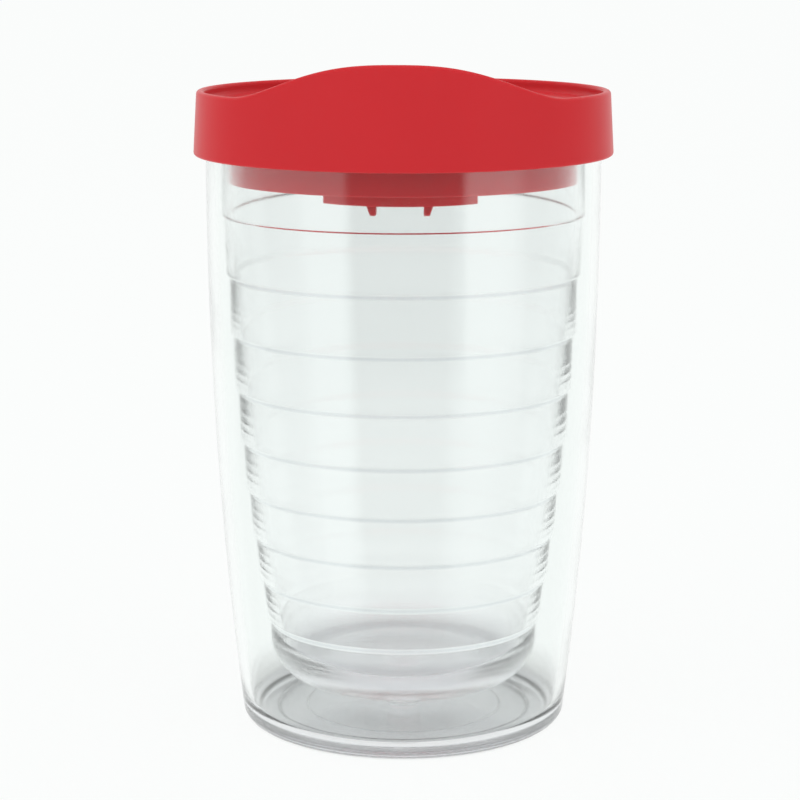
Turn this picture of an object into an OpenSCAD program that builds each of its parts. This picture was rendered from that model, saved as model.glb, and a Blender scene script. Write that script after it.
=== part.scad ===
// Double-wall insulated tumbler with a travel lid and a slide closure.
// Millimetres, +Z up. The origin is the centre of the foot and the sip side faces -Y.
// The outer shell and the inner liner are clear mouldings welded together at the rim.
// The lid plugs into the neck of the liner, and its slider runs on two snap legs.

/* [Outer shell] */
// Height of the cup from the foot to the lip
rim_z = 135; // [134.6:0.1:135]
// Outside radius of the shell at the rim
shell_top_r = 42.9; // [42.6:0.1:43.2]
// Outside radius of the shell at the foot
shell_foot_r = 35.9; // [34.5:0.1:37]
// Height above which the shell wall stands upright
shell_bend_z = 125; // [115:1:125]
// How suddenly the shell bends, where 1 is a straight cone
shell_curve = 2.2; // [1.8:0.1:2.4]
// Wall thickness of the shell
shell_wall = 2; // [1.6:0.1:2.2]
// Top face of the shell floor
shell_floor_z = 2.2; // [2:0.1:3]

/* [Foot] */
// Inside radius of the ring that the cup stands on
foot_ring_r = 28.35; // [26:0.05:30]
// Radius of the round panel in the middle of the underside
panel_r = 21.6; // [16:0.1:24]

/* [Inner liner] */
// Outside radius of the liner under the bead
liner_top_r = 39.05; // [38.9:0.05:39.1]
// Even draft of the liner's wall, in millimetres of radius for each millimetre down
liner_draft = 0.052; // [0.048:0.002:0.056]
// How much further the liner tucks in by the time it reaches the foot
liner_tuck = 8; // [7:0.5:8.5]
// Wall thickness of the liner
liner_wall = 1.9; // [1.5:0.1:2.2]
// Underside of the liner
liner_base_z = 8.7; // [8:0.1:10]
// Inside floor of the liner
liner_floor_z = 12.9; // [12:0.1:14]
// Inside radius of the neck that takes the lid
neck_r = 38; // [37.96:0.01:38]
// Number of decorative rings
ring_count = 8; // [6:1:8]
// How far each ring steps in
ring_step = 0.7; // [0.3:0.05:0.8]
// Distance from the ledge to the first ring
ring_pitch = 13.5; // [12.5:0.1:13.5]
// Each pitch is this share of the one above it
ring_ratio = 0.95; // [0.94:0.005:0.95]

/* [Lid] */
// Lower edge of the lid skirt
skirt_z = 125.9; // [124:0.1:128]
// Height of the rim at the sides and the back
side_rim_z = 139.7; // [139:0.1:141]
// How far the sip lip rises above the side rim
lip_rise = 7.5; // [5:0.1:9]
// Half the angle that the sip lip spans
lip_half_angle = 52; // [45:1:58]
// Outside radius of the skirt at its lower edge
skirt_r = 45.5; // [45.3:0.1:46]
// Wall thickness of the skirt
skirt_wall = 1.7; // [1.4:0.1:1.8]
// Outside radius of the plug that fits the neck
plug_r = 37.9; // [37.86:0.01:37.9]
// Underside of the deck and the plug
deck_z = 120.4; // [120:0.1:121]
// Thickness of the deck
deck_t = 1.8; // [1.5:0.1:1.8]

/* [Slide closure] */
// Width of the drink hole
drink_w = 16; // [12:0.5:17]
// Length of the drink hole towards the sip side
drink_l = 6; // [5:0.5:6]
// Distance of the drink hole from the lid's centre
drink_y = 30; // [29:0.5:30]
// Width of the slider plate
slider_w = 22; // [20:0.5:22]
// How far the slider travels to open
slider_travel = 12; // [11:0.5:12]

/* [Hidden] */
$fn = 128;
clear = [0.90, 0.95, 0.94, 0.45];
red = [0.78, 0.16, 0.18];
eps = 0.01;

// Cup details
weld_z = rim_z - 1.8;
wall_steps = 16;
foot_round = 0.9;
recess_z = 0.7;
panel_z = 0.4;
corner_round = 3.5;
gate_r = 3.64;
gate_mark = [0.8, 0.3];
bead_r = 39.8;
bead_h = 1.4;
neck_wall = 1.35;
ledge_z = 113.5;
ring_h = 1.4;
bottom_round = 9;
inner_round = 10;
nub_r = 3.7;
nub_h = 3.1;
lip_round = 0.9;

// Lid details
top_z = side_rim_z + lip_rise;
skirt_lean = 0.06;
skirt_gap_r = 43.6;
shoulder_z = rim_z + 0.2;
shoulder_t = 1.6;
plug_wall = 1.4;
well_r = plug_r - plug_wall;
deck_top = deck_z + deck_t;
lip_steps = 28;
lip_power = 1.3;
ramp_drop = 2.6;
baffle_r = 24;
baffle_t = 1.4;
baffle_z = 116.8;
baffle_half_angle = 42;
vent_r = 1.2;
vent_y = 27;
rib_w = 1.2;
rib_h = 1.9;

// Slide closure details, with the slider shut
leg_in = 4.95;
leg_t = 1.2;
leg_l = 4;
leg_back_y = -16.8;
leg_tip_z = 114.6;
hook = 0.85;
hook_tip = 0.05;
rail_z = 117.2;
rail_w = 1.2;
play = 0.2;
slider_gap = 0.1;
slider_t = 1.6;
slider_back_y = -4;
slider_front_r = 36.1;
grip_w = 14;
grip_h = 4.2;
grip_y = [-17, -11];
grip_lean = 1.2;
track_back_y = 9;

function shell_r(z) =
    shell_top_r - (shell_top_r - shell_foot_r) * pow(max(0, 1 - z / shell_bend_z), shell_curve);

function liner_r(z) =
    let (down = ledge_z - z)
    liner_top_r - liner_draft * down - liner_tuck * pow(down / ledge_z, 3);

function ring_z(k) = ledge_z - ring_pitch * (1 - pow(ring_ratio, k)) / (1 - ring_ratio);

function arc(centre, r, from, to, n = 8) =
    [for (i = [0:n]) let (a = from + (to - from) * i / n) centre + r * [cos(a), sin(a)]];

function span(from, to, n) = [for (i = [0:n]) from + (to - from) * i / n];

// Height of the lid's rim at x on its front half, a smooth bell over the sip side
function rim_height(x) =
    let (angle = asin(min(1, abs(x) / skirt_r)), t = min(1, angle / lip_half_angle))
    side_rim_z + lip_rise * (1 + cos(180 * pow(t, lip_power))) / 2;

function skirt_out(z) = skirt_r - skirt_lean * (z - skirt_z);

module outer_shell() {
    inside_r = shell_r(shell_floor_z + corner_round) - shell_wall;
    underside = [
        [0, panel_z], [panel_r, panel_z], [panel_r, recess_z],
        [foot_ring_r, recess_z], [foot_ring_r, 0]
    ];
    foot = arc([shell_r(foot_round) - foot_round, foot_round], foot_round, -90, 0);
    outside = [for (z = span(foot_round + 2, shell_bend_z, wall_steps)) [shell_r(z), z]];
    inside = [for (z = span(shell_bend_z, shell_floor_z + corner_round, wall_steps))
        [shell_r(z) - shell_wall, z]];
    corner = arc([inside_r - corner_round, shell_floor_z + corner_round], corner_round, -10, -90);
    gate = [
        [gate_r + gate_mark[0] / 2, shell_floor_z],
        [gate_r + gate_mark[0] / 2, shell_floor_z + gate_mark[1]],
        [gate_r - gate_mark[0] / 2, shell_floor_z + gate_mark[1]],
        [gate_r - gate_mark[0] / 2, shell_floor_z], [0, shell_floor_z]
    ];
    weld = [[shell_top_r, weld_z], [shell_top_r - shell_wall, weld_z]];
    color(clear)
        rotate_extrude()
            polygon(concat(underside, foot, outside, weld, inside, corner, gate));
}

// The liner's outside from its nub up to the weld flange, ring by ring
function liner_outside() =
    let (knee_r = liner_r(ring_z(ring_count)))
    concat(
        [[0, liner_base_z - nub_h], [nub_r, liner_base_z - nub_h], [nub_r, liner_base_z]],
        arc([knee_r - ring_step - bottom_round, liner_base_z + bottom_round], bottom_round, -90, 0),
        [for (k = [ring_count:-1:1]) for (side = [-1, 1])
            [liner_r(ring_z(k)) + side * ring_step / 2, ring_z(k) + side * ring_h / 2]],
        [
            [liner_top_r, ledge_z - bead_h - ring_h / 2], [bead_r, ledge_z - bead_h],
            [bead_r, ledge_z], [neck_r + neck_wall, ledge_z + bead_h / 2],
            [neck_r + neck_wall, weld_z], [shell_top_r, weld_z]
        ]
    );

// The liner's inside from the lip down to its floor
function liner_inside() =
    let (wall_foot_z = liner_floor_z + inner_round)
    concat(
        [[neck_r, rim_z - lip_round], [neck_r, ledge_z]],
        [for (z = span(ledge_z, wall_foot_z, wall_steps)) [liner_r(z) - liner_wall, z]],
        arc([liner_r(wall_foot_z) - liner_wall - inner_round, wall_foot_z], inner_round, -10, -90),
        [[0, liner_floor_z]]
    );

module inner_liner() {
    lip = concat(
        arc([shell_top_r - lip_round, rim_z - lip_round], lip_round, 0, 90, 5),
        arc([neck_r + lip_round, rim_z - lip_round], lip_round, 90, 180, 5)
    );
    color(clear)
        rotate_extrude()
            polygon(concat(liner_outside(), lip, liner_inside()));
}

// Everything under the wavy rim line, lowered by drop. The back half is cut level.
module below_rim(drop = 0) {
    reach = skirt_r + 1;
    rotate([90, 0, 0])
        linear_extrude(reach)
            polygon(concat(
                [[-reach, deck_z - 1]],
                [for (x = span(-skirt_r, skirt_r, lip_steps)) [x, rim_height(x) - drop]],
                [[reach, side_rim_z - drop], [reach, deck_z - 1]]
            ));
    translate([-reach, -eps, deck_z - 1])
        cube([2 * reach, reach + eps, side_rim_z - drop - deck_z + 1]);
}

module slot_hole(width, length, depth) {
    straight = width - length;
    translate([-straight / 2, -length / 2, 0]) cube([straight, length, depth]);
    for (side = [-1, 1])
        translate([side * straight / 2, 0, 0]) cylinder(d = length, h = depth);
}

// Skirt, shoulder, plug and deck as one turned section
module lid_turned() {
    shoulder_top = shoulder_z + shoulder_t;
    rotate_extrude()
        polygon([
            [skirt_r, skirt_z], [skirt_out(top_z), top_z], [skirt_out(top_z) - skirt_wall, top_z],
            [skirt_out(shoulder_top) - skirt_wall, shoulder_top], [well_r, shoulder_top],
            [well_r, deck_top], [0, deck_top], [0, deck_z], [plug_r, deck_z],
            [plug_r, shoulder_z], [skirt_gap_r, shoulder_z], [skirt_r - skirt_wall, skirt_z]
        ]);
}

// The slope that carries the drink from the shoulder up to the sip lip
module sip_ramp() {
    foot_z = shoulder_z + shoulder_t - eps;
    ramp_top = top_z - ramp_drop;
    intersection() {
        rotate_extrude()
            polygon([
                [well_r, foot_z], [skirt_out(foot_z) - skirt_wall / 2, foot_z],
                [skirt_out(ramp_top) - skirt_wall / 2, ramp_top],
                [skirt_out(ramp_top) - skirt_wall, ramp_top]
            ]);
        below_rim(ramp_drop);
    }
}

// Short curved wall under the deck that keeps splashes off the leg slots
module splash_baffle() {
    rotate([0, 0, -90 - baffle_half_angle])
        rotate_extrude(angle = 2 * baffle_half_angle)
            translate([baffle_r - baffle_t, baffle_z])
                square([baffle_t, deck_z + eps - baffle_z]);
}

// Rails under the deck on both sides of each leg slot, mirrored left and right
module leg_rails() {
    front_y = leg_back_y - leg_l - 2 * play;
    length = leg_l + slider_travel + 4 * play;
    for (side = [0, 1])
        mirror([side, 0, 0])
            for (x = [leg_in - play - rail_w, leg_in + leg_t + play])
                translate([x, front_y, rail_z])
                    cube([rail_w, length, deck_z + eps - rail_z]);
}

module leg_slots() {
    for (side = [0, 1])
        mirror([side, 0, 0])
            translate([leg_in - play, leg_back_y - leg_l - play, deck_z - 1])
                cube([leg_t + 2 * play, leg_l + slider_travel + 2 * play, deck_t + 2]);
}

// Low ribs on the deck that guide the plate's two sides
module track_ribs() {
    front_y = -drink_y;
    for (side = [0, 1])
        mirror([side, 0, 0])
            translate([slider_w / 2 + play, front_y, deck_top - eps])
                cube([rib_w, track_back_y - front_y, rib_h]);
}

module lid_body() {
    color(red)
        difference() {
            union() {
                intersection() {
                    lid_turned();
                    below_rim();
                }
                sip_ramp();
                splash_baffle();
                leg_rails();
                track_ribs();
            }
            translate([0, -drink_y, deck_z - 1]) slot_hole(drink_w, drink_l, deck_t + 2);
            translate([0, vent_y, deck_z - 1]) cylinder(r = vent_r, h = deck_t + 2);
            leg_slots();
        }
}

// One snap leg, drawn as its front outline. The hook's slope leads it through the slot.
module snap_leg(plate_z) {
    hook_z = rail_z - play;
    translate([0, leg_back_y, 0])
        rotate([90, 0, 0])
            linear_extrude(leg_l)
                polygon([
                    [leg_in, leg_tip_z], [leg_in + leg_t + hook_tip, leg_tip_z],
                    [leg_in + leg_t + hook, hook_z], [leg_in + leg_t, hook_z],
                    [leg_in + leg_t, plate_z + eps], [leg_in, plate_z + eps]
                ]);
}

module lid_slider() {
    plate_z = deck_top + slider_gap;
    plate_top = plate_z + slider_t;
    color(red)
        union() {
            intersection() {
                translate([-slider_w / 2, -slider_front_r, plate_z])
                    cube([slider_w, slider_front_r + slider_back_y, slider_t]);
                translate([0, 0, plate_z - 1]) cylinder(r = slider_front_r, h = slider_t + 2);
            }
            translate([-grip_w / 2, 0, 0])
                rotate([90, 0, 90])
                    linear_extrude(grip_w)
                        polygon([
                            [grip_y[0], plate_top - eps], [grip_y[1], plate_top - eps],
                            [grip_y[1] - grip_lean, plate_top + grip_h],
                            [grip_y[0] + grip_lean, plate_top + grip_h]
                        ]);
            for (side = [0, 1]) mirror([side, 0, 0]) snap_leg(plate_z);
        }
}

outer_shell();
inner_liner();
lid_body();
lid_slider();
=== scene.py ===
"""Looks of a clear double-wall drinking tumbler with a red travel lid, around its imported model."""
import logging
import math
from collections.abc import Callable, Sequence
from dataclasses import dataclass
from enum import Enum

import bmesh
import bpy
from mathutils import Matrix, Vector


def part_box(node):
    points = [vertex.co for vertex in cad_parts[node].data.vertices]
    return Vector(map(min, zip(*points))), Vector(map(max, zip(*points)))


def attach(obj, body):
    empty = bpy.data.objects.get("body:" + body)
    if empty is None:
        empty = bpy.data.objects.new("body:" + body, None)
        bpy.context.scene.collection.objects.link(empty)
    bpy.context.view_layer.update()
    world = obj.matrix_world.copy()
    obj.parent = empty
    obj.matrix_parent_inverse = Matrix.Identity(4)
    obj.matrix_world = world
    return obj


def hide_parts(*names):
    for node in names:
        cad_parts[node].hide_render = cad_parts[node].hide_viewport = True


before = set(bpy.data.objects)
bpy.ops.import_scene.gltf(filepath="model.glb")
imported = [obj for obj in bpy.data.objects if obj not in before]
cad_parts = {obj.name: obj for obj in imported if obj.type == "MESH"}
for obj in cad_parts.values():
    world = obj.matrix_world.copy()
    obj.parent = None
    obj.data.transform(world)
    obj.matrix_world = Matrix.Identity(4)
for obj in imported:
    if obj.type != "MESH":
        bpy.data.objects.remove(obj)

MM = 0.001
TINY = 1e-9
WELD_GAP = 1e-4
FLOAT_SOCKET = "NodeSocketFloat"
LOG = logging.getLogger("tumbler")

Point = tuple[float, float]
Corner = tuple[float, float, float]
Colour = tuple[float, float, float, float]
Place = Callable[[float, float, float], Vector]


class Side(Enum):
    """The two sides of the lid, as the sign of their first coordinate."""

    LEFT = -1
    RIGHT = 1


class Ray(Enum):
    """What a ray may already have been through when it meets a surface."""

    MIRRORED = "Glossy Depth"
    SCATTERED = "Diffuse Depth"
    PASSED = "Transmission Depth"


# ---------------------------------------------------------------- outlines


def arc_points(centre: Point, radius: float, start: float, end: float, steps: int) -> list[Point]:
    """Points along an arc.

    Args:
        centre: Centre of the arc.
        radius: Radius of the arc.
        start: First angle, in degrees from the first axis.
        end: Last angle, in degrees.
        steps: Number of chords.

    Returns:
        The steps + 1 points from start to end.
    """
    points = []
    for i in range(steps + 1):
        angle = math.radians(start + (end - start) * i / steps)
        points.append((centre[0] + radius * math.cos(angle), centre[1] + radius * math.sin(angle)))
    return points


def fillet(before: Corner, corner: Corner, after: Corner, steps: int) -> list[Point]:
    """Rounds one corner of an outline, by less than its radius where a side is too short.

    Args:
        before: The corner in front of it.
        corner: The corner as (first, second, radius). A radius of 0 keeps it sharp.
        after: The corner behind it.
        steps: Number of chords in the rounding.

    Returns:
        The points that take the corner's place.
    """
    here = Vector(corner[:2])
    back, ahead = Vector(before[:2]) - here, Vector(after[:2]) - here
    if corner[2] <= 0 or min(back.length, ahead.length) < TINY:
        return [corner[:2]]
    half = back.angle(ahead) / 2
    least_turn = 0.01
    if math.pi / 2 - half < least_turn:
        return [corner[:2]]
    shared, whole = 0.49, 0.98
    room_back = back.length * (shared if before[2] > 0 else whole)
    room_ahead = ahead.length * (shared if after[2] > 0 else whole)
    reach = min(corner[2] / math.tan(half), room_back, room_ahead)
    start, end = here + back.normalized() * reach, here + ahead.normalized() * reach
    radius = reach * math.tan(half)
    centre = here + (back.normalized() + ahead.normalized()).normalized() * radius / math.sin(half)
    turn = (start - centre).angle_signed(end - centre)
    first = math.atan2(start.y - centre.y, start.x - centre.x)
    points = []
    for i in range(steps + 1):
        angle = first - turn * i / steps
        points.append((centre.x + radius * math.cos(angle), centre.y + radius * math.sin(angle)))
    return points


def rounded(corners: Sequence[Corner], closed: bool = False, steps: int = 4) -> list[Point]:
    """Rounds every corner of an outline.

    Args:
        corners: Corners as (first, second, radius).
        closed: True if the last corner joins the first.
        steps: Number of chords in each rounding.

    Returns:
        The outline's points in the same order.
    """
    points: list[Point] = []
    count = len(corners)
    for i, corner in enumerate(corners):
        if not closed and i in (0, count - 1):
            points.append(corner[:2])
            continue
        points += fillet(corners[i - 1], corner, corners[(i + 1) % count], steps)
    return points


def rounded_box(centre: Point, width: float, length: float, radius: float, steps: int) -> list[Point]:
    """Outline of a rectangle with round corners, counter-clockwise.

    Args:
        centre: Its centre.
        width: Size along the first axis.
        length: Size along the second axis.
        radius: Corner radius.
        steps: Number of chords in each corner.

    Returns:
        The outline's points.
    """
    half_w, half_l = width / 2, length / 2
    signs = ((-1, -1), (1, -1), (1, 1), (-1, 1))
    corners = [(centre[0] + a * half_w, centre[1] + b * half_l, radius) for a, b in signs]
    return rounded(corners, True, steps)


def inset(outline: Sequence[Point], distance: float) -> list[Point]:
    """Moves a closed counter-clockwise outline inwards.

    Args:
        outline: The points of the outline.
        distance: How far each side moves. A negative one moves outwards.

    Returns:
        One moved point for each point.
    """
    moved = []
    count = len(outline)
    least_share = 0.3
    for i, point in enumerate(outline):
        here = Vector(point)
        into = (here - Vector(outline[i - 1])).normalized()
        out = (Vector(outline[(i + 1) % count]) - here).normalized()
        normal = Vector((-into.y - out.y, into.x + out.x))
        if normal.length < TINY:
            moved.append(point)
            continue
        normal.normalize()
        share = max(least_share, normal.dot(Vector((-into.y, into.x))))
        moved.append(tuple(here + normal * distance / share))
    return moved


# ------------------------------------------------------------------ meshes


def upright(x: float, y: float, z: float) -> Vector:
    """Keeps a point where it is."""
    return Vector((x, y, z))


def across(y: float, z: float, x: float) -> Vector:
    """Turns a side view to run across the lid."""
    return Vector((x, y, z))


def along(x: float, z: float, y: float) -> Vector:
    """Turns a front view to run along the slider's travel."""
    return Vector((x, y, z))


def ring(radius: float, height: float, segments: int) -> list[Vector]:
    """Points of a level circle around the axis, starting at the sip side."""
    points = []
    for i in range(segments):
        angle = math.tau * i / segments
        points.append(Vector((radius * math.sin(angle), -radius * math.cos(angle), height)))
    return points


class MeshMaker:
    """Collects the surfaces of one piece in millimetres and turns them into an object."""

    def __init__(self, name: str) -> None:
        """Starts an empty piece with that name."""
        self.name = name
        self.bm = bmesh.new()

    def loop(self, points: Sequence[Vector]) -> list[bmesh.types.BMVert]:
        """Adds a row of vertices."""
        return [self.bm.verts.new(p) for p in points]

    def bridge(self, low: list[bmesh.types.BMVert], high: list[bmesh.types.BMVert]) -> None:
        """Joins two closed rows of the same length with quads."""
        count = len(low)
        for i in range(count):
            k = (i + 1) % count
            self.bm.faces.new((low[i], low[k], high[k], high[i]))

    def lathe(self, outline: Sequence[Point], segments: int) -> None:
        """Turns an outline that starts and ends on the axis into a closed solid.

        Args:
            outline: Points as (radius, height). The first and the last have radius 0.
            segments: Number of steps around the axis.
        """
        first = self.bm.verts.new((0, 0, outline[0][1]))
        last = self.bm.verts.new((0, 0, outline[-1][1]))
        rows = [self.loop(ring(r, z, segments)) for r, z in outline[1:-1]]
        for low, high in zip(rows, rows[1:]):
            self.bridge(low, high)
        for i in range(segments):
            k = (i + 1) % segments
            self.bm.faces.new((first, rows[0][k], rows[0][i]))
            self.bm.faces.new((last, rows[-1][i], rows[-1][k]))

    def prism(
        self, outline: Sequence[Point], low: float, high: float, edge: float, place: Place = upright
    ) -> None:
        """Adds a closed solid with an even outline and rounded rims.

        Args:
            outline: Counter-clockwise points.
            low: Where it starts along the third axis.
            high: Where it ends along the third axis.
            edge: Radius of both rims.
            place: Puts a point of the solid's own axes into the piece.
        """
        levels = []
        steps = 3
        for i in range(steps + 1):
            angle = math.pi / 2 * i / steps
            levels.append((edge * (1 - math.sin(angle)), low + edge * (1 - math.cos(angle))))
        levels += [(inwards, low + high - level) for inwards, level in reversed(levels)]
        rows = []
        for inwards, level in levels:
            rows.append(self.loop([place(x, y, level) for x, y in inset(outline, inwards)]))
        for lower, upper in zip(rows, rows[1:]):
            self.bridge(lower, upper)
        self.bm.faces.new(list(reversed(rows[0])))
        self.bm.faces.new(rows[-1])

    def finish(self, crease_degrees: float = 40.0) -> bpy.types.Object:
        """Makes the object, in metres, with smooth faces and creased sharp edges.

        Args:
            crease_degrees: Edges that turn by more than this stay sharp.

        Returns:
            The new object, linked to the scene.
        """
        bmesh.ops.remove_doubles(self.bm, verts=self.bm.verts, dist=WELD_GAP)
        bmesh.ops.recalc_face_normals(self.bm, faces=self.bm.faces)
        bmesh.ops.scale(self.bm, vec=(MM, MM, MM), verts=self.bm.verts)
        mesh = bpy.data.meshes.new(self.name)
        self.bm.to_mesh(mesh)
        self.bm.free()
        mesh.polygons.foreach_set("use_smooth", [True] * len(mesh.polygons))
        mesh.set_sharp_from_angle(angle=math.radians(crease_degrees))
        piece = bpy.data.objects.new(self.name, mesh)
        bpy.context.scene.collection.objects.link(piece)
        return piece


# --------------------------------------------------------------- materials


class Nodes:
    """Short ways to add and join the nodes of one tree."""

    def __init__(self, tree: bpy.types.NodeTree) -> None:
        """Works on that tree."""
        self.tree = tree

    def add(self, kind: str, inputs: dict | None = None, **settings: object) -> bpy.types.Node:
        """Adds a node.

        Args:
            kind: Blender's name for the node.
            inputs: Socket name or number to a value, or to a socket that feeds it.
            settings: Properties of the node.

        Returns:
            The new node.
        """
        node = self.tree.nodes.new(kind)
        for name, value in settings.items():
            setattr(node, name, value)
        for name, value in (inputs or {}).items():
            if isinstance(value, bpy.types.NodeSocket):
                self.tree.links.new(value, node.inputs[name])
            else:
                node.inputs[name].default_value = value
        return node

    def math(self, operation: str, *values: object) -> bpy.types.NodeSocket:
        """Adds a Math node and returns its output."""
        node = self.add("ShaderNodeMath", dict(enumerate(values)), operation=operation)
        return node.outputs[0]

    def ramp(
        self, value: object, low: float, high: float, to_low: object, to_high: object
    ) -> bpy.types.NodeSocket:
        """Maps a value smoothly from one span to another.

        Args:
            value: The value or the socket that feeds it.
            low: Start of the span that it comes from.
            high: End of the span that it comes from.
            to_low: What low becomes, as a number or a socket.
            to_high: What high becomes, as a number or a socket.

        Returns:
            The mapped value's socket.
        """
        inputs = {"Value": value, "From Min": low, "From Max": high, "To Min": to_low, "To Max": to_high}
        node = self.add("ShaderNodeMapRange", inputs, interpolation_type="SMOOTHSTEP")
        return node.outputs["Result"]

    def mix(self, share: object, low: object, high: object) -> bpy.types.NodeSocket:
        """Blends two numbers and returns the result.

        Args:
            share: How much of high there is, from 0 to 1.
            low: The result where share is 0.
            high: The result where share is 1.

        Returns:
            The blended number's socket.
        """
        return self.add("ShaderNodeMix", {0: share, 2: low, 3: high}, data_type="FLOAT").outputs[0]

    def blend(self, share: object, low: object, high: object) -> bpy.types.NodeSocket:
        """Blends two colours and returns the result.

        Args:
            share: How much of high there is, from 0 to 1.
            low: The colour where share is 0.
            high: The colour where share is 1.

        Returns:
            The blended colour's socket.
        """
        return self.add("ShaderNodeMix", {0: share, 6: low, 7: high}, data_type="RGBA").outputs[2]

    def place(self) -> bpy.types.NodeSocket:
        """Returns the point on the object's own axes, in metres."""
        return self.add("ShaderNodeTexCoord").outputs["Object"]

    def after(self, ray: Ray) -> bpy.types.NodeSocket:
        """Tells, as 0 or 1, whether the ray has already been bounced or passed in this way."""
        path = self.add("ShaderNodeLightPath")
        return self.math("GREATER_THAN", path.outputs[ray.value], 0.5)

    def apart(self, value: bpy.types.NodeSocket, middle: float) -> bpy.types.NodeSocket:
        """Returns how far a value is from a middle one."""
        return self.math("ABSOLUTE", self.math("SUBTRACT", value, middle))


def new_group(
    name: str, inputs: dict[str, float], outputs: Sequence[str]
) -> tuple[bpy.types.NodeTree, Nodes]:
    """Starts an effect group with named sockets, each of them a number.

    Args:
        name: The group's name.
        inputs: Input name to its default value.
        outputs: The output names.

    Returns:
        The group's tree and a helper for its nodes.
    """
    tree = bpy.data.node_groups.new(name, "ShaderNodeTree")
    for label, value in inputs.items():
        socket = tree.interface.new_socket(name=label, in_out="INPUT", socket_type=FLOAT_SOCKET)
        socket.default_value = value
    for label in outputs:
        tree.interface.new_socket(name=label, in_out="OUTPUT", socket_type=FLOAT_SOCKET)
    return tree, Nodes(tree)


class EffectGroups:
    """The shader effects that more than one material uses, each built once."""

    def __init__(self) -> None:
        """Builds every group."""
        self.mould_grain = self.build_mould_grain()
        self.handling = self.build_handling()

    @staticmethod
    def build_mould_grain() -> bpy.types.NodeTree:
        """Builds the fine texture that a spark-eroded mould leaves, with slow flow marks.

        Returns:
            The group, whose Height feeds a bump and whose Tone shades the colour.
        """
        inputs = {"Grain Scale": 2600.0, "Flow Scale": 22.0, "Grain Depth": 0.5}
        tree, nodes = new_group("mould grain", inputs, ("Height", "Tone"))
        source = nodes.add("NodeGroupInput")
        place = nodes.place()
        grain_inputs = {"Vector": place, "Scale": source.outputs["Grain Scale"], "Detail": 2.0}
        grain = nodes.add("ShaderNodeTexNoise", grain_inputs)
        flow_inputs = {"Vector": place, "Scale": source.outputs["Flow Scale"], "Detail": 3.0}
        flow = nodes.add("ShaderNodeTexNoise", flow_inputs)
        fine = nodes.math("MULTIPLY", grain.outputs["Fac"], source.outputs["Grain Depth"])
        height = nodes.math("ADD", fine, flow.outputs["Fac"])
        nodes.add("NodeGroupOutput", {"Height": height, "Tone": flow.outputs["Fac"]})
        return tree

    @staticmethod
    def build_handling() -> bpy.types.NodeTree:
        """Builds the marks of handling: faint smears and fine hairline scratches.

        Returns:
            The group, whose Haze raises roughness and whose Height feeds a bump.
        """
        inputs = {"Smear Scale": 35.0, "Scratch Scale": 90.0, "Haze Low": 0.0, "Haze High": 0.04}
        tree, nodes = new_group("handling marks", inputs, ("Haze", "Height"))
        given = nodes.add("NodeGroupInput").outputs
        place = nodes.place()
        smear_inputs = {"Vector": place, "Scale": given["Smear Scale"], "Detail": 4.0, "Distortion": 0.6}
        smear = nodes.add("ShaderNodeTexNoise", smear_inputs).outputs["Fac"]
        haze = nodes.ramp(smear, 0.45, 0.75, given["Haze Low"], given["Haze High"])
        drawn_out = nodes.add("ShaderNodeMapping", {"Vector": place, "Scale": (1.0, 1.0, 0.08)})
        scratch_inputs = {"Vector": drawn_out.outputs[0], "Scale": given["Scratch Scale"], "Detail": 5.0}
        scratch = nodes.add("ShaderNodeTexNoise", scratch_inputs).outputs["Fac"]
        nodes.add("NodeGroupOutput", {"Haze": haze, "Height": scratch})
        return tree


def place_group(nodes: Nodes, tree: bpy.types.NodeTree, values: dict[str, float]) -> bpy.types.Node:
    """Places an effect group in a material.

    Args:
        nodes: The material's nodes.
        tree: The effect group.
        values: Input name to this material's value.

    Returns:
        The group node.
    """
    node = nodes.add("ShaderNodeGroup", node_tree=tree)
    for name, value in values.items():
        node.inputs[name].default_value = value
    return node


@dataclass(frozen=True)
class RingRule:
    """Where the liner's rings sit: ever closer together below the ledge, in millimetres."""

    ledge_z: float = 113.5
    pitch: float = 13.5
    ratio: float = 0.95
    count: int = 8

    def height(self, number: int) -> float:
        """Height of a ring, counted down from the ledge."""
        return self.ledge_z - self.pitch * (1 - self.ratio**number) / (1 - self.ratio)

    def gap(self, nodes: Nodes, z: bpy.types.NodeSocket) -> bpy.types.NodeSocket:
        """Works out how far above or below the nearest ring a point is.

        Args:
            nodes: The material's nodes.
            z: The point's height, in metres.

        Returns:
            The distance in millimetres.
        """
        least = 0.01
        down = nodes.math("SUBTRACT", self.ledge_z, nodes.math("DIVIDE", z, MM))
        shrink = nodes.math("SUBTRACT", 1.0, nodes.math("MULTIPLY", down, (1 - self.ratio) / self.pitch))
        number = nodes.math("LOGARITHM", nodes.math("MAXIMUM", shrink, least), self.ratio)
        nearest = nodes.math("MAXIMUM", nodes.math("ROUND", number), 1.0)
        nearest = nodes.math("MINIMUM", nearest, float(self.count))
        off = nodes.math("ABSOLUTE", nodes.math("SUBTRACT", number, nearest))
        return nodes.math("MULTIPLY", off, nodes.math("MULTIPLY", shrink, self.pitch))


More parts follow.
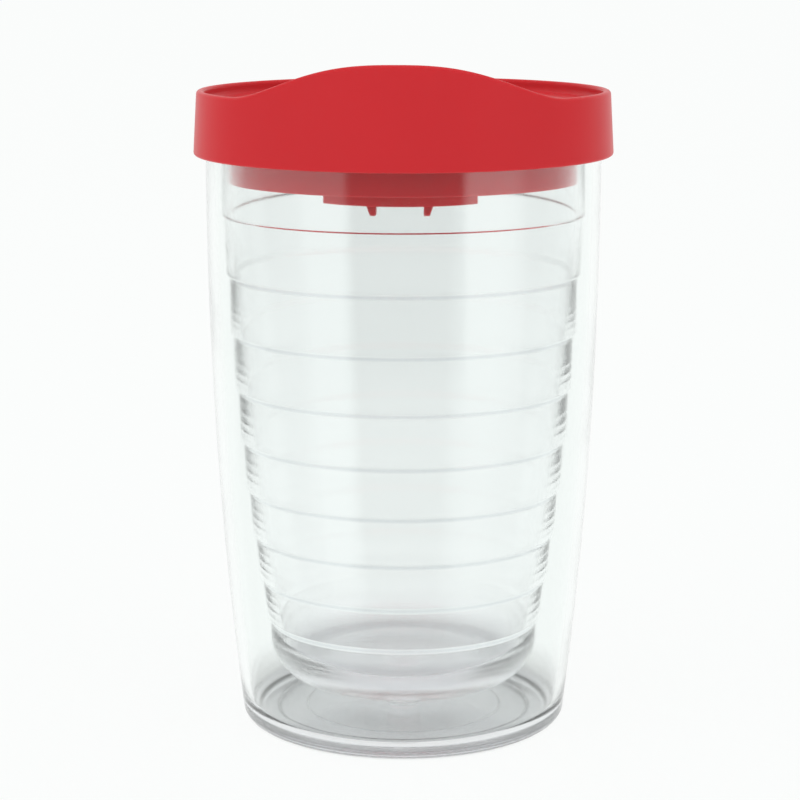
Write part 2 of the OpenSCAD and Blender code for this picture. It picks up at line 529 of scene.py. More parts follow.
@dataclass(frozen=True)
class ClearPlastic:
    """Polished clear copolyester, more scuffed towards its foot, with painted shade that darkens its
    foot.
    """

    name: str
    tint: Colour
    foot_shade_tint: Colour
    foot_haze: float
    foot_low: float
    foot_high: float
    smear_scale: float = 32.0
    haze: tuple[float, float] = (0.04, 0.09)
    ior: float = 1.5
    waviness: float = 0.008
    wave_depth: float = 0.1

    def foot_mask(self, nodes: Nodes) -> bpy.types.NodeSocket:
        """Makes a mask that is 1 at the foot and fades out above it.

        Args:
            nodes: The material's nodes.

        Returns:
            The mask's socket.
        """
        height = nodes.add("ShaderNodeSeparateXYZ", {0: nodes.place()}).outputs["Z"]
        return nodes.ramp(height, self.foot_low * MM, self.foot_high * MM, 1.0, 0.0)

    def colour(self, nodes: Nodes) -> bpy.types.NodeSocket:
        """Colour of the plastic, with painted shade that darkens it towards its thick foot.

        Args:
            nodes: The material's nodes.

        Returns:
            The colour's socket.
        """
        # Painted shade: the foot's darker tint stands in for the shade under and around the foot.
        return nodes.blend(self.foot_mask(nodes), self.tint, self.foot_shade_tint)

    def build(self, groups: EffectGroups) -> bpy.types.Material:
        """Builds the material.

        Args:
            groups: The shared effect groups.

        Returns:
            The material.
        """
        material = bpy.data.materials.new(self.name)
        material.use_nodes = True
        nodes = Nodes(material.node_tree)
        links = material.node_tree.links
        shader = material.node_tree.nodes["Principled BSDF"]
        shader.inputs["IOR"].default_value = self.ior
        shader.inputs["Transmission Weight"].default_value = 1.0
        values = {"Smear Scale": self.smear_scale, "Haze Low": self.haze[0], "Haze High": self.haze[1]}
        marks = place_group(nodes, groups.handling, values)
        scuffs = nodes.math("MULTIPLY", self.foot_mask(nodes), self.foot_haze)
        wave = {"Height": marks.outputs["Height"], "Strength": self.waviness}
        bump = nodes.add("ShaderNodeBump", {**wave, "Distance": self.wave_depth * MM})
        links.new(self.colour(nodes), shader.inputs["Base Color"])
        links.new(nodes.math("ADD", marks.outputs["Haze"], scuffs), shader.inputs["Roughness"])
        links.new(bump.outputs["Normal"], shader.inputs["Normal"])
        return material


@dataclass(frozen=True)
class RingedPlastic(ClearPlastic):
    """The same plastic, with painted shade along the lines where the mould's rings meet the wall."""

    rings: RingRule = RingRule()
    ring_shade_core: float = 0.075
    ring_shade_width: float = 0.75
    ring_shade_tint: Colour = (0.86, 0.875, 0.895, 1.0)

    def colour(self, nodes: Nodes) -> bpy.types.NodeSocket:
        """Paints shade on the outer wall along every ring, by the rule that spaces the rings.

        Args:
            nodes: The material's nodes.

        Returns:
            The colour's socket.
        """
        x, y, z = nodes.add("ShaderNodeSeparateXYZ", {0: nodes.place()}).outputs
        # Painted shade: a darker tint along each ring line, on the outer wall only.
        line = nodes.ramp(self.rings.gap(nodes, z), self.ring_shade_core, self.ring_shade_width, 1.0, 0.0)
        radial = nodes.add("ShaderNodeCombineXYZ", {0: x, 1: y}).outputs[0]
        normal = nodes.add("ShaderNodeNewGeometry").outputs["Normal"]
        facing = nodes.add("ShaderNodeVectorMath", {0: radial, 1: normal}, operation="DOT_PRODUCT")
        outer = nodes.ramp(facing.outputs["Value"], 0.0, 2 * MM, 0.0, 1.0)
        share = nodes.math("MULTIPLY", line, outer)
        return nodes.blend(share, super().colour(nodes), self.ring_shade_tint)


@dataclass(frozen=True)
class RedPlastic:
    """Satin moulded polypropylene that light enters a little."""

    name: str
    deep: Colour = (0.51, 0.027, 0.032, 1.0)
    bright: Colour = (0.59, 0.031, 0.038, 1.0)
    roughness: float = 0.3
    worn: float = 0.02
    gloss: float = 0.05
    ior: float = 1.49
    glow: float = 0.25
    glow_reach: tuple[float, float, float] = (1.0, 0.15, 0.2)
    glow_depth: float = 1.2
    grain_scale: float = 2400.0
    grain_depth: float = 0.35
    grain_bump: float = 0.12
    grain_height: float = 0.05

    def build(self, groups: EffectGroups) -> bpy.types.Material:
        """Builds the material.

        Args:
            groups: The shared effect groups.

        Returns:
            The material.
        """
        material = bpy.data.materials.new(self.name)
        material.use_nodes = True
        nodes = Nodes(material.node_tree)
        links = material.node_tree.links
        shader = material.node_tree.nodes["Principled BSDF"]
        shader.inputs["IOR"].default_value = self.ior
        shader.inputs["Specular IOR Level"].default_value = self.gloss
        shader.inputs["Subsurface Weight"].default_value = self.glow
        shader.inputs["Subsurface Radius"].default_value = self.glow_reach
        shader.inputs["Subsurface Scale"].default_value = self.glow_depth * MM
        grain_values = {"Grain Scale": self.grain_scale, "Grain Depth": self.grain_depth}
        grain = place_group(nodes, groups.mould_grain, grain_values)
        haze_values = {"Haze Low": self.roughness, "Haze High": self.roughness + self.worn}
        marks = place_group(nodes, groups.handling, haze_values)
        relief = {"Height": grain.outputs["Height"], "Strength": self.grain_bump}
        bump = nodes.add("ShaderNodeBump", {**relief, "Distance": self.grain_height * MM})
        colour = nodes.blend(grain.outputs["Tone"], self.deep, self.bright)
        links.new(colour, shader.inputs["Base Color"])
        links.new(marks.outputs["Haze"], shader.inputs["Roughness"])
        links.new(bump.outputs["Normal"], shader.inputs["Normal"])
        return material


# ------------------------------------------------------------------ pieces


@dataclass
class OuterShell:
    """The clear outer moulding with the foot, in millimetres."""

    top_r: float = 42.9
    foot_r: float = 35.9
    bend_z: float = 125.0
    curve: float = 2.2
    wall: float = 2.0
    floor_z: float = 2.2
    foot_round: float = 2.2
    ring_r: float = 28.35
    recess_z: float = 0.7
    panel_r: float = 21.6
    panel_z: float = 0.4
    panel_slope: float = 0.3
    panel_round: float = 0.1
    recess_round: float = 0.3
    ring_round: float = 0.15
    seat_round: float = 0.12
    rim_gap: tuple[float, float] = (0.3, 0.4)
    rim_round: float = 0.2
    corner_round: float = 3.5
    foot_gap: float = 0.5
    foot_draft: float = 0.2
    gate_r: float = 3.64
    gate_w: float = 0.8
    gate_h: float = 0.3
    gate_soft: float = 0.1
    segments: int = 256
    wall_steps: int = 40

    def radius(self, z: float) -> float:
        """Outside radius at a height."""
        share = max(0.0, 1 - z / self.bend_z)
        return self.top_r - (self.top_r - self.foot_r) * share**self.curve

    def outline(self) -> list[Point]:
        """Outline from the underside's centre round the wall to the floor's centre."""
        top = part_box("outer_shell")[1].z / MM
        floor = self.floor_z
        corners: list[Corner] = [
            (0, self.panel_z, 0), (self.panel_r, self.panel_z, self.panel_round),
            (self.panel_r + self.panel_slope, self.recess_z, self.recess_round),
            (self.ring_r, self.recess_z, self.ring_round), (self.ring_r, 0, self.seat_round),
            (self.foot_r, 0, self.foot_round),
        ]
        outside_foot = self.foot_round + 1
        span = top - self.rim_gap[0] - outside_foot
        for i in range(self.wall_steps + 1):
            z = outside_foot + span * i / self.wall_steps
            corners.append((self.radius(z), z, 0))
        corners += [(self.top_r, top, self.rim_round), (self.top_r - self.wall, top, self.rim_round)]
        inside_foot = floor + self.corner_round + self.foot_gap
        span = top - self.rim_gap[1] - inside_foot
        for i in range(self.wall_steps, -1, -1):
            z = inside_foot + span * i / self.wall_steps
            corners.append((self.radius(z) - self.wall, z, 0))
        corners.append((self.radius(floor) - self.wall - self.foot_draft, floor, self.corner_round))
        outer_gate, inner_gate = self.gate_r + self.gate_w / 2, self.gate_r - self.gate_w / 2
        soft = self.gate_soft
        corners += [
            (outer_gate + soft, floor, soft), (outer_gate, floor + self.gate_h, soft),
            (inner_gate, floor + self.gate_h, soft), (inner_gate - soft, floor, soft), (0, floor, 0),
        ]
        return rounded(corners, steps=6)

    def build(self, finish: bpy.types.Material) -> bpy.types.Object:
        """Makes the shell and hands it to its body.

        Args:
            finish: The clear plastic.

        Returns:
            The piece.
        """
        maker = MeshMaker("shell_moulding")
        maker.lathe(self.outline(), self.segments)
        return dress(maker.finish(), finish, "tumbler", "outer_shell")


@dataclass
class InnerLiner:
    """The clear ringed liner with its neck and weld flange, in millimetres."""

    top_r: float = 39.05
    draft: float = 0.052
    tuck: float = 8.0
    wall: float = 1.9
    rings: RingRule = RingRule()
    bead_r: float = 39.52
    bead_z: float = 113.05
    bead_h: float = 0.36
    neck_r: float = 38.0
    neck_wall: float = 1.35
    throat: float = 60.0
    throat_wall: float = 1.05
    neck_rise: float = 14.0
    neck_blend: float = 30.0
    throat_blend: float = 20.0
    throat_gap: float = 4.0
    flange_r: float = 42.9
    flange_t: float = 1.8
    base_z: float = 8.7
    floor_z: float = 12.9
    bottom_round: float = 10.0
    inner_round: float = 8.0
    nub_r: float = 3.7
    nub_h: float = 3.1
    nub_draft: float = 0.2
    nub_soft: float = 0.5
    bead_soft: tuple[float, float] = (0.08, 0.12)
    bead_blend: float = 3.0
    flange_soft: tuple[float, float] = (0.3, 0.1)
    lip_round: float = 0.85
    ring_step: float = 0.7
    ring_h: float = 1.4
    ring_soft: float = 0.2
    segments: int = 256
    wall_steps: int = 40

    def radius(self, z: float) -> float:
        """Outside radius at a height, without the rings."""
        down = self.rings.ledge_z - z
        return self.top_r - self.draft * down - self.tuck * (down / self.rings.ledge_z) ** 3

    def thickness(self, z: float) -> float:
        """Wall thickness at a height: thin under the ledge, then growing smoothly down the throat."""
        share = min(max((self.rings.ledge_z - z) / self.throat, 0.0), 1.0)
        return self.throat_wall + (self.wall - self.throat_wall) * share * share * (3 - 2 * share)

    def outside(self) -> list[Corner]:
        """Corners from the nub's centre up the ringed wall and over the ledge to the neck."""
        count = self.rings.count
        knee = self.radius(self.rings.height(count)) - self.ring_step / 2
        corners: list[Corner] = [
            (0, self.base_z - self.nub_h, 0), (self.nub_r, self.base_z - self.nub_h, self.nub_soft),
            (self.nub_r + self.nub_draft, self.base_z, self.nub_soft),
        ]
        centre = (knee - self.bottom_round, self.base_z + self.bottom_round)
        corners += [(r, z, 0) for r, z in arc_points(centre, self.bottom_round, -90, -4, 24)]
        for number in range(count, 0, -1):
            z = self.rings.height(number)
            for side in (-1, 1):
                r = self.radius(z) + side * self.ring_step / 2
                corners.append((r, z + side * self.ring_h / 2, self.ring_soft))
        neck = self.neck_r + self.neck_wall
        corners += [
            (self.top_r, self.bead_z, self.bead_soft[0]),
            (self.bead_r, self.bead_z + self.bead_h, self.bead_soft[1]),
            (self.bead_r, self.bead_z + 3 * self.bead_h, self.bead_blend),
            (neck, self.bead_z + self.neck_rise, self.neck_blend),
        ]
        return corners

    def outline(self) -> list[Point]:
        """Outline from the nub's centre over the lip down to the inside floor."""
        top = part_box("inner_liner")[1].z / MM
        under_flange = top - self.flange_t
        neck = self.neck_r + self.neck_wall
        corners = self.outside()
        corners += [
            (neck, under_flange, self.flange_soft[0]),
            (self.flange_r, under_flange, self.flange_soft[1]),
            (self.flange_r, top, self.lip_round), (self.neck_r, top, self.lip_round),
            (self.neck_r, self.rings.ledge_z, self.throat_blend),
        ]
        wall_foot = self.floor_z + self.inner_round
        span = self.rings.ledge_z - self.throat_gap - wall_foot
        for i in range(self.wall_steps, -1, -1):
            z = wall_foot + span * i / self.wall_steps
            corners.append((self.radius(z) - self.thickness(z), z, 0))
        centre = (self.radius(wall_foot) - self.wall - self.inner_round, wall_foot)
        corners += [(r, z, 0) for r, z in arc_points(centre, self.inner_round, -8, -90, 24)]
        corners.append((0, self.floor_z, 0))
        return rounded(corners, steps=8)

    def build(self, finish: bpy.types.Material) -> bpy.types.Object:
        """Makes the liner and hands it to its body.

        Args:
            finish: The clear plastic.

        Returns:
            The piece.
        """
        maker = MeshMaker("liner_moulding")
        maker.lathe(self.outline(), self.segments)
        return dress(maker.finish(), finish, "tumbler", "inner_liner")


@dataclass
class TravelLid:
    """The red lid moulding, in millimetres."""

    skirt_z: float = 125.9
    side_rim_z: float = 139.7
    lip_rise: float = 7.5
    lip_half_angle: float = 52.0
    lip_power: float = 1.3
    skirt_r: float = 45.5
    skirt_wall: float = 1.7
    skirt_lean: float = 0.06
    skirt_gap_r: float = 43.6
    shoulder_z: float = 135.2
    shoulder_t: float = 1.6
    ramp_drop: float = 2.6
    plug_r: float = 37.9
    plug_wall: float = 1.4
    deck_z: float = 120.4
    deck_t: float = 1.8
    drink_w: float = 16.0
    drink_l: float = 6.0
    drink_y: float = -30.0
    vent_r: float = 1.2
    vent_y: float = 27.0
    slot_x: float = 5.55
    slot_w: float = 1.6
    slot_y: tuple[float, float] = (-21.0, -4.6)
    slot_round: float = 0.3
    hole_soft: float = 0.25
    baffle_r: float = 24.0
    baffle_t: float = 1.4
    baffle_z: float = 116.8
    baffle_half_angle: float = 42.0
    rail_w: float = 1.2
    rail_z: float = 117.2
    rail_y: tuple[float, float] = (-21.2, -4.4)
    rib_x: float = 11.8
    rib_w: float = 1.2
    rib_h: float = 1.9
    rib_y: tuple[float, float] = (-30.0, 9.0)
    rib_round: float = 0.55
    rib_soft: float = 0.35
    rib_sink: float = 0.5
    edge_soft: float = 0.2
    root: float = 0.6
    deck_lap: float = 3.0
    well_round: float = 1.0
    well_draft: float = 0.15
    well_lip: float = 0.9
    ramp_round: float = 2.5
    rim_round: tuple[float, float] = (0.75, 0.8)
    skirt_round: tuple[float, float] = (0.6, 0.4)
    gap_round: float = 0.6
    plug_draft: float = 0.1
    plug_round: tuple[float, float] = (0.3, 0.5)
    segments: int = 256

    def rim_z(self, angle: float) -> float:
        """Height of the rim at an angle from the sip side, in radians."""
        share = min(1.0, abs(math.degrees(angle)) / self.lip_half_angle)
        return self.side_rim_z + self.lip_rise * (1 + math.cos(math.pi * share**self.lip_power)) / 2

    def skirt_out(self, z: float) -> float:
        """Outside radius of the skirt at a height."""
        return self.skirt_r - self.skirt_lean * (z - self.skirt_z)

    def section(self, angle: float) -> list[Point]:
        """Section from the deck's top over the rim and round to the deck's underside.

        Args:
            angle: Angle from the sip side, in radians.

        Returns:
            Points as (radius, height), the same number at every angle.
        """
        rim = self.rim_z(angle)
        ramp = rim - self.ramp_drop
        shoulder = self.shoulder_z + self.shoulder_t
        well = self.plug_r - self.plug_wall
        deck_top = self.deck_z + self.deck_t
        corners: list[Corner] = [
            (well - self.deck_lap, deck_top, 0), (well, deck_top, self.well_round),
            (well + self.well_draft, shoulder, self.well_lip),
            (self.skirt_out(ramp) - self.skirt_wall, ramp, self.ramp_round),
            (self.skirt_out(rim) - self.skirt_wall, rim, self.rim_round[0]),
            (self.skirt_out(rim), rim, self.rim_round[1]),
            (self.skirt_r, self.skirt_z, self.skirt_round[0]),
            (self.skirt_r - self.skirt_wall, self.skirt_z, self.skirt_round[1]),
            (self.skirt_gap_r, self.shoulder_z, self.gap_round),
            (self.plug_r + self.plug_draft, self.shoulder_z, self.plug_round[0]),
            (self.plug_r, self.deck_z, self.plug_round[1]), (well - self.deck_lap, self.deck_z, 0),
        ]
        return rounded(corners, steps=5)

    def holes(self, grow: float) -> list[list[Point]]:
        """Outlines of the deck's holes: drink hole, vent and both leg slots.

        Args:
            grow: How far each outline stands outside its hole's wall.

        Returns:
            One counter-clockwise outline for each hole.
        """
        width, length = self.drink_w + 2 * grow, self.drink_l + 2 * grow
        slack = 0.01
        found = [rounded_box((0, self.drink_y), width, length, length / 2 - slack, 8)]
        vent = self.vent_r + grow
        found.append(arc_points((0, self.vent_y), vent, 0, 360, 24)[:-1])
        front, back = self.slot_y
        slot_w, slot_l = self.slot_w + 2 * grow, back - front + 2 * grow
        for side in Side:
            centre = (side.value * self.slot_x, (front + back) / 2)
            found.append(rounded_box(centre, slot_w, slot_l, self.slot_round + grow, 3))
        return found

    def add_shell(self, maker: MeshMaker) -> None:
        """Adds the skirt, rim, shoulder, plug and pierced deck as one closed surface."""
        step = math.tau / self.segments
        columns = []
        for i in range(self.segments):
            angle = (i * step + math.pi) % math.tau - math.pi
            x, y = math.sin(i * step), -math.cos(i * step)
            columns.append(maker.loop([Vector((r * x, r * y, z)) for r, z in self.section(angle)]))
        rows = [list(row) for row in zip(*columns)]
        for low, high in zip(rows, rows[1:]):
            maker.bridge(low, high)
        top, under = self.deck_z + self.deck_t, self.deck_z
        soft = self.hole_soft
        levels = ((soft, top), (0.0, top - soft), (0.0, under + soft), (soft, under))
        hole_rows = []
        for grow, z in levels:
            holes = self.holes(grow)
            hole_rows.append([maker.loop([Vector((x, y, z)) for x, y in hole]) for hole in holes])
        for upper, lower in zip(hole_rows, hole_rows[1:]):
            for a, b in zip(upper, lower):
                maker.bridge(a, b)
        self.fill_deck(maker, [rows[0], *hole_rows[0]])
        self.fill_deck(maker, [rows[-1], *hole_rows[-1]])

    @staticmethod
    def fill_deck(maker: MeshMaker, loops: list[list[bmesh.types.BMVert]]) -> None:
        """Fills a level face between its rim and its holes.

        Args:
            maker: The lid's maker.
            loops: The rim first, then each hole.
        """
        edges = []
        for loop in loops:
            for i, vert in enumerate(loop):
                edge = maker.bm.edges.get((vert, loop[i - 1]))
                edges.append(edge or maker.bm.edges.new((vert, loop[i - 1])))
        bmesh.ops.triangle_fill(maker.bm, use_beauty=True, use_dissolve=False, edges=edges)

    def add_underside(self, maker: MeshMaker) -> None:
        """Adds the splash baffle and the rails beside the leg slots."""
        sunk = self.deck_z + self.root
        first, last = -90 - self.baffle_half_angle, -90 + self.baffle_half_angle
        outer = arc_points((0, 0), self.baffle_r, first, last, 48)
        inner = arc_points((0, 0), self.baffle_r - self.baffle_t, last, first, 48)
        maker.prism(outer + inner, self.baffle_z, sunk, self.edge_soft)
        offset = (self.slot_w + self.rail_w) / 2
        length = self.rail_y[1] - self.rail_y[0]
        for side in Side:
            for x in (self.slot_x - offset, self.slot_x + offset):
                centre = (side.value * x, sum(self.rail_y) / 2)
                rail = rounded_box(centre, self.rail_w, length, self.slot_round, 3)
                maker.prism(rail, self.rail_z, sunk, self.edge_soft)

    def add_track(self, maker: MeshMaker) -> None:
        """Adds the low ribs that guide the slider's plate."""
        deck_top = self.deck_z + self.deck_t
        length = self.rib_y[1] - self.rib_y[0]
        for side in Side:
            centre = (side.value * self.rib_x, sum(self.rib_y) / 2)
            rib = rounded_box(centre, self.rib_w, length, self.rib_round, 5)
            maker.prism(rib, deck_top - self.rib_sink, deck_top + self.rib_h, self.rib_soft)

    def build(self, finish: bpy.types.Material) -> bpy.types.Object:
        """Makes the lid and hands it to its body.

        Args:
            finish: The red plastic.

        Returns:
            The piece.
        """
        maker = MeshMaker("lid_moulding")
        self.add_shell(maker)
        self.add_underside(maker)
        self.add_track(maker)
        return dress(maker.finish(), finish, "lid", "lid_body")


@dataclass
class SlideClosure:
    """The slider with its thumb grip and snap legs, in millimetres."""

    width: float = 22.0
    back_y: float = -4.0
    front_r: float = 36.1
    plate_z: float = 122.3
    plate_t: float = 1.6
    plate_soft: float = 0.35
    grip_w: float = 14.0
    grip_h: float = 4.2
    grip_y: tuple[float, float] = (-17.0, -11.0)
    grip_lean: float = 1.2
    grip_soft: float = 0.5
    grip_waist_share: float = 0.4
    grip_waist_h: float = 1.6
    grip_waist_round: float = 2.0
    grip_round: float = 0.6
    back_round: float = 1.5
    leg_in: float = 4.95
    leg_t: float = 1.2
    leg_l: float = 4.0
    leg_back_y: float = -16.8
    leg_tip_z: float = 114.6
    leg_soft: float = 0.15
    tip_round: float = 0.2
    hook: float = 0.85
    hook_z: float = 117.0
    hook_soft: float = 0.15
    hook_edge: float = 0.05
    hook_root: float = 0.1
    root: float = 0.4

    def plate_outline(self) -> list[Point]:
        """Plan of the plate, with the front following the well's wall."""
        half = self.width / 2
        reach = math.degrees(math.asin(half / self.front_r))
        front = arc_points((0, 0), self.front_r, -90 - reach, -90 + reach, 24)
        back_corners: list[Corner] = [
            (front[-1][0], front[-1][1], 0), (half, self.back_y, self.back_round),
            (-half, self.back_y, self.back_round), (front[0][0], front[0][1], 0),
        ]
        back = rounded(back_corners, steps=5)
        return front[1:-1] + back

    def add_grip(self, maker: MeshMaker) -> None:
        """Adds the thumb grip, which narrows towards its top."""
        low = self.plate_z + self.plate_t - self.root
        high = self.plate_z + self.plate_t + self.grip_h
        front, back = self.grip_y
        lean = self.grip_lean
        waist, waist_z = lean * self.grip_waist_share, low + self.grip_waist_h
        side_view: list[Corner] = [
            (front, low, 0), (back, low, 0), (back - waist, waist_z, self.grip_waist_round),
            (back - lean, high, self.grip_round), (front + lean, high, self.grip_round),
            (front + waist, waist_z, self.grip_waist_round),
        ]
        outline = rounded(side_view, closed=True, steps=5)
        maker.prism(outline, -self.grip_w / 2, self.grip_w / 2, self.grip_soft, across)

    def add_legs(self, maker: MeshMaker) -> None:
        """Adds both snap legs with their hooks."""
        out = self.leg_in + self.leg_t
        sunk = self.plate_z + self.root
        front_view: list[Corner] = [
            (self.leg_in, self.leg_tip_z, self.hook_soft),
            (out + self.hook_edge, self.leg_tip_z, self.tip_round),
            (out + self.hook, self.hook_z - self.hook_soft, self.hook_soft),
            (out + self.hook - self.hook_edge, self.hook_z, self.hook_edge),
            (out, self.hook_z, self.hook_root), (out, sunk, 0), (self.leg_in, sunk, 0),
        ]
        outline = rounded(front_view, closed=True, steps=3)
        for side in Side:
            turned = outline if side is Side.RIGHT else [(-x, z) for x, z in reversed(outline)]
            maker.prism(turned, self.leg_back_y - self.leg_l, self.leg_back_y, self.leg_soft, along)

    def build(self, finish: bpy.types.Material) -> bpy.types.Object:
        """Makes the slider and hands it to its body.

        Args:
            finish: The red plastic.

        Returns:
            The piece.
        """
        maker = MeshMaker("slide_closure")
        maker.prism(self.plate_outline(), self.plate_z, self.plate_z + self.plate_t, self.plate_soft)
        self.add_grip(maker)
        self.add_legs(maker)
        return dress(maker.finish(), finish, "slider", "lid_slider")


def dress(
    piece: bpy.types.Object, finish: bpy.types.Material, body: str, node: str
) -> bpy.types.Object:
    """Gives a piece its material and its body, and hides the CAD node that it stands for.

    Args:
        piece: The finished mesh object.
        finish: Its material.
        body: Name of the CAD body that it moves with.
        node: Name of the CAD node that it replaces.

    Returns:
        The same piece.
    """
    piece.data.materials.append(finish)
    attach(piece, body)
    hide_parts(node)
    LOG.info("%s: %d faces on body %s", piece.name, len(piece.data.polygons), body)
    return piece


# ------------------------------------------------------------------ studio


@dataclass(frozen=True)
class Band:
    """An upright band of light around the piece, in degrees from the sip side."""

    azimuth: float
    half_width: float
    fade: float
    level: float

    def mask(self, nodes: Nodes, degrees: bpy.types.NodeSocket) -> bpy.types.NodeSocket:
        """Makes the band's light.

        Args:
            nodes: The world's nodes.
            degrees: The direction around the axis.

        Returns:
            A socket that holds the level inside the band and 0 outside it.
        """
        off = nodes.apart(degrees, self.azimuth)
        return nodes.ramp(off, self.half_width, self.half_width + self.fade, self.level, 0.0)


@dataclass(frozen=True)
class Rise:
    """Light that changes smoothly between two heights of the direction it comes from."""

    low: float
    high: float
    below: float
    above: float

    def mask(self, nodes: Nodes, height: bpy.types.NodeSocket) -> bpy.types.NodeSocket:
        """Makes the light.

        Args:
            nodes: The world's nodes.
            height: The direction's height, from -1 to 1.

        Returns:
            A socket that holds one level below the rise and the other above it.
        """
        return nodes.ramp(height, self.low, self.high, self.below, self.above)


@dataclass(frozen=True)
class SoftBox:
    """A lamp that lights the piece but stays out of mirrors and views, in metres and degrees."""

    name: str
    azimuth: float
    elevation: float
    width: float
    height: float
    watts: float
    reach: float = 1.1
    aim: float = 0.08

    def build(self) -> None:
        """Hangs the lamp and turns it to the piece."""
        data = bpy.data.lights.new(self.name, "AREA")
        data.shape = "RECTANGLE"
        data.size, data.size_y = self.width, self.height
        data.energy = self.watts
        lamp = bpy.data.objects.new(self.name, data)
        turn, rise = math.radians(self.azimuth), math.radians(self.elevation)
        level = math.cos(rise)
        out = Vector((math.sin(turn) * level, -math.cos(turn) * level, math.sin(rise)))
        lamp.location = out * self.reach + Vector((0, 0, self.aim))
        lamp.rotation_euler = out.to_track_quat("Z", "Y").to_euler()
        lamp.visible_camera = False
        lamp.visible_glossy = False
        lamp.visible_transmission = False
        bpy.context.scene.collection.objects.link(lamp)


@dataclass
class Studio:
    """Plain pale floor, soft light and the camera, in metres and degrees."""

    distance: float = 0.5103
    height: float = 0.1725
    pitch: float = 11.23
    azimuth: float = 2.2
    aside: float = -0.00076
    lens: float = 105.55
    sensor: float = 36.0
    near_clip: float = 0.01
    floor_size: float = 12.0
    floor_gap: float = 0.0001
    floor_glow: float = 0.93
    foot_share: float = 0.837
    contact_span: tuple[float, float] = (0.93, 0.98)
    contact_shadow_level: float = 0.68
    seat_r: float = 28.35
    seat_line: float = 0.7
    seat_core: float = 0.3
    seat_shadow_level: float = 0.45
    glass_shade: float = 0.62
    glass_reach: float = 1.7
    bounce: float = 1.12
    white: Colour = (0.978, 0.992, 0.985, 1.0)
    paper: Colour = (0.8, 0.805, 0.803, 1.0)
    box_left: Band = Band(-51.0, 15.0, 4.0, 0.6)
    box_right: Band = Band(58.0, 17.0, 5.0, 1.0)
    front: Band = Band(3.0, 33.0, 5.0, 1.0)
    behind: tuple[float, float] = (92.0, 125.0)
    overhead: Rise = Rise(0.7, 0.95, 0.0, 0.9)
    front_room: Rise = Rise(-0.29, -0.21, 0.85, 0.16)
    side_room: Rise = Rise(-0.31, -0.22, 0.95, 0.66)
    glow_left: Band = Band(-55.0, 0.0, 70.0, 0.6)
    glow_right: Band = Band(60.0, 0.0, 70.0, 0.4)
    glow_top: Rise = Rise(0.0, 0.9, 0.4, 0.85)
    soft_boxes: tuple[SoftBox, ...] = (
        SoftBox("soft box left", -48, 20, 0.6, 1.0, 1.2),
        SoftBox("soft box right", 57, 20, 0.7, 1.0, 1.2),
        SoftBox("soft box above", 0, 85, 1.2, 1.2, 2.0),
    )
    clear_bounces: int = 40
    gloss_bounces: int = 12
    soft_bounces: int = 8
    open_bounces: int = 16

    def add_camera(self) -> None:
        """Places the camera and makes it the scene's own."""
        data = bpy.data.cameras.new("camera")
        data.lens = self.lens
        data.sensor_width = self.sensor
        data.clip_start = self.near_clip
        camera = bpy.data.objects.new("camera", data)
        turn = math.radians(self.azimuth)
        right = Vector((math.cos(turn), math.sin(turn), 0))
        out = Vector((math.sin(turn), -math.cos(turn), 0))
        camera.location = out * self.distance + right * self.aside + Vector((0, 0, self.height))
        camera.rotation_euler = (math.radians(90 - self.pitch), 0, turn)
        bpy.context.scene.collection.objects.link(camera)
        bpy.context.scene.camera = camera

    def contact(self, nodes: Nodes) -> bpy.types.NodeSocket:
        """Paints shadow on the floor under the foot, along its seat and where it is seen through the
        wall.

        Args:
            nodes: The floor's nodes.

        Returns:
            The share of the light that is left.
        """
        length = nodes.add("ShaderNodeVectorMath", {0: nodes.place()}, operation="LENGTH")
        from_axis = length.outputs["Value"]
        foot_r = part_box("outer_shell")[1].x * self.foot_share
        low, high = (share * foot_r for share in self.contact_span)
        # Painted contact shadow under the foot, a painted shadow line along the seat and painted shade
        # where the floor is seen through the glass.
        under = nodes.ramp(from_axis, low, high, self.contact_shadow_level, 1.0)
        near = nodes.ramp(from_axis, foot_r, self.glass_reach * foot_r, self.glass_shade, 1.0)
        glass_shadow = nodes.mix(nodes.after(Ray.PASSED), 1.0, near)
        off_seat = nodes.apart(from_axis, self.seat_r * MM)
        line = self.seat_line * MM
        seat = nodes.ramp(off_seat, self.seat_core * line, line, self.seat_shadow_level, 1.0)
        return nodes.math("MULTIPLY", nodes.math("MINIMUM", under, glass_shadow), seat)

    def floor_material(self) -> bpy.types.Material:
        """Builds the floor's material, which mirrors and views from below do not meet.

        Returns:
            The material.
        """
        material = bpy.data.materials.new("pale floor")
        material.use_nodes = True
        material.node_tree.nodes.clear()
        nodes = Nodes(material.node_tree)
        soft = nodes.after(Ray.SCATTERED)
        # The floor's emission strength carries the painted contact shadow.
        strength = nodes.mix(soft, self.contact(nodes), self.bounce)
        paper = nodes.add("ShaderNodeBsdfDiffuse", {"Color": self.paper})
        lit = nodes.add("ShaderNodeEmission", {"Color": self.white, "Strength": strength})
        share = nodes.math("MAXIMUM", soft, self.floor_glow)
        seen = nodes.add("ShaderNodeMixShader", {0: share, 1: paper.outputs[0], 2: lit.outputs[0]})
        clear = nodes.add("ShaderNodeBsdfTransparent")
        direct = nodes.math("SUBTRACT", 1.0, soft)
        mirrored = nodes.math("MULTIPLY", nodes.after(Ray.MIRRORED), direct)
        under = nodes.add("ShaderNodeNewGeometry").outputs["Backfacing"]
        absent = nodes.math("MAXIMUM", mirrored, under)
        mixed = nodes.add("ShaderNodeMixShader", {0: absent, 1: seen.outputs[0], 2: clear.outputs[0]})
        nodes.add("ShaderNodeOutputMaterial", {"Surface": mixed.outputs[0]})
        return material

    def add_floor(self) -> None:
        """Lays a pale floor that mirrors in the piece do not show."""
        maker = MeshMaker("floor")
        half = self.floor_size / 2 / MM
        level = -self.floor_gap / MM
        signs = ((-1, -1), (1, -1), (1, 1), (-1, 1))
        maker.bm.faces.new(maker.loop([Vector((x * half, y * half, level)) for x, y in signs]))
        floor = maker.finish()
        floor.data.materials.append(self.floor_material())

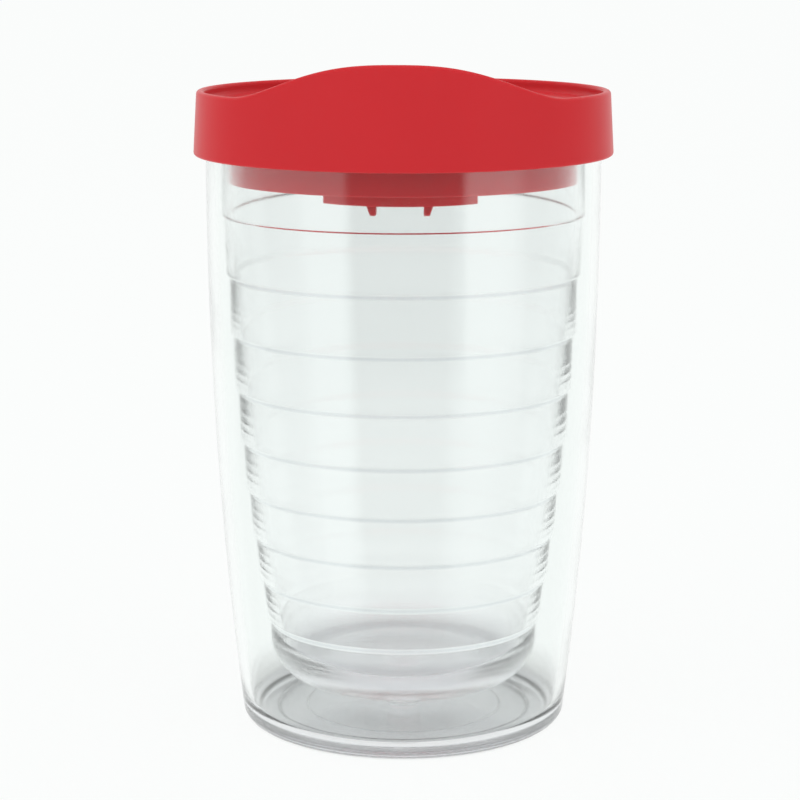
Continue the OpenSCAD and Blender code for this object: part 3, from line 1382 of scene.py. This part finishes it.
    def mirrored_room(
        self, nodes: Nodes, degrees: bpy.types.NodeSocket, height: bpy.types.NodeSocket
    ) -> bpy.types.NodeSocket:
        """Makes what gloss mirrors: a dim room with a light behind, one overhead and two tall boxes.

        Args:
            nodes: The world's nodes.
            degrees: The direction around the axis.
            height: The direction's height, from -1 to 1.

        Returns:
            The light's socket.
        """
        front_room = self.front_room.mask(nodes, height)
        side_room = self.side_room.mask(nodes, height)
        light = nodes.mix(self.front.mask(nodes, degrees), side_room, front_room)
        start, end = self.behind
        behind = nodes.ramp(nodes.math("ABSOLUTE", degrees), start, end, 0.0, 1.0)
        boxes = [box.mask(nodes, degrees) for box in (self.box_left, self.box_right)]
        for mask in (*boxes, behind, self.overhead.mask(nodes, height)):
            light = nodes.math("MAXIMUM", light, mask)
        return light

    def add_world(self) -> None:
        """Builds the room: white to the camera, and other light for mirrors and for soft bounces."""
        world = bpy.data.worlds.new("studio")
        bpy.context.scene.world = world
        world.use_nodes = True
        world.cycles.sampling_method = "NONE"
        world.node_tree.nodes.clear()
        nodes = Nodes(world.node_tree)
        way = nodes.add("ShaderNodeTexCoord").outputs["Generated"]
        x, y, height = nodes.add("ShaderNodeSeparateXYZ", {0: way}).outputs
        turned = nodes.math("ARCTAN2", x, nodes.math("MULTIPLY", y, -1.0))
        degrees = nodes.math("MULTIPLY", turned, 180 / math.pi)
        mirrored = self.mirrored_room(nodes, degrees, height)
        left, right = (glow.mask(nodes, degrees) for glow in (self.glow_left, self.glow_right))
        top = self.glow_top.mask(nodes, height)
        soft = nodes.math("ADD", nodes.math("ADD", left, right), top)
        level = nodes.mix(nodes.after(Ray.MIRRORED), 1.0, mirrored)
        level = nodes.mix(nodes.after(Ray.SCATTERED), level, soft)
        sky = nodes.add("ShaderNodeBackground", {"Color": self.white, "Strength": level})
        nodes.add("ShaderNodeOutputWorld", {"Surface": sky.outputs[0]})

    def build(self) -> None:
        """Builds the whole studio and sets how light is followed through the clear walls."""
        self.add_camera()
        self.add_floor()
        self.add_world()
        for soft_box in self.soft_boxes:
            soft_box.build()
        scene = bpy.context.scene
        scene.view_settings.view_transform = "Standard"
        scene.cycles.max_bounces = self.clear_bounces
        scene.cycles.transmission_bounces = self.clear_bounces
        scene.cycles.glossy_bounces = self.gloss_bounces
        scene.cycles.diffuse_bounces = self.soft_bounces
        scene.cycles.transparent_max_bounces = self.open_bounces
        scene.cycles.blur_glossy = 0.0


def main() -> None:
    """Builds every piece and the studio."""
    logging.basicConfig(level=logging.INFO, format="%(name)s: %(message)s")
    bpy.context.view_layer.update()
    groups = EffectGroups()
    # Each foot tint is painted shade that darkens the clear plastic towards the bottom.
    shell_finish = ClearPlastic(
        "clear shell plastic", tint=(0.97, 0.991, 0.983, 1.0), foot_shade_tint=(0.73, 0.74, 0.76, 1.0),
        foot_haze=0.1, foot_low=1.5, foot_high=4.5,
    )
    OuterShell().build(shell_finish.build(groups))
    liner_finish = RingedPlastic(
        "clear liner plastic", tint=(0.994, 0.997, 1.0, 1.0), foot_shade_tint=(0.962, 0.956, 0.982, 1.0),
        foot_haze=0.13, foot_low=10.0, foot_high=20.0, smear_scale=26.0,
    )
    InnerLiner().build(liner_finish.build(groups))
    TravelLid().build(RedPlastic("red lid plastic").build(groups))
    SlideClosure().build(RedPlastic("red slider plastic").build(groups))
    Studio().build()


if __name__ == "__main__":
    main()
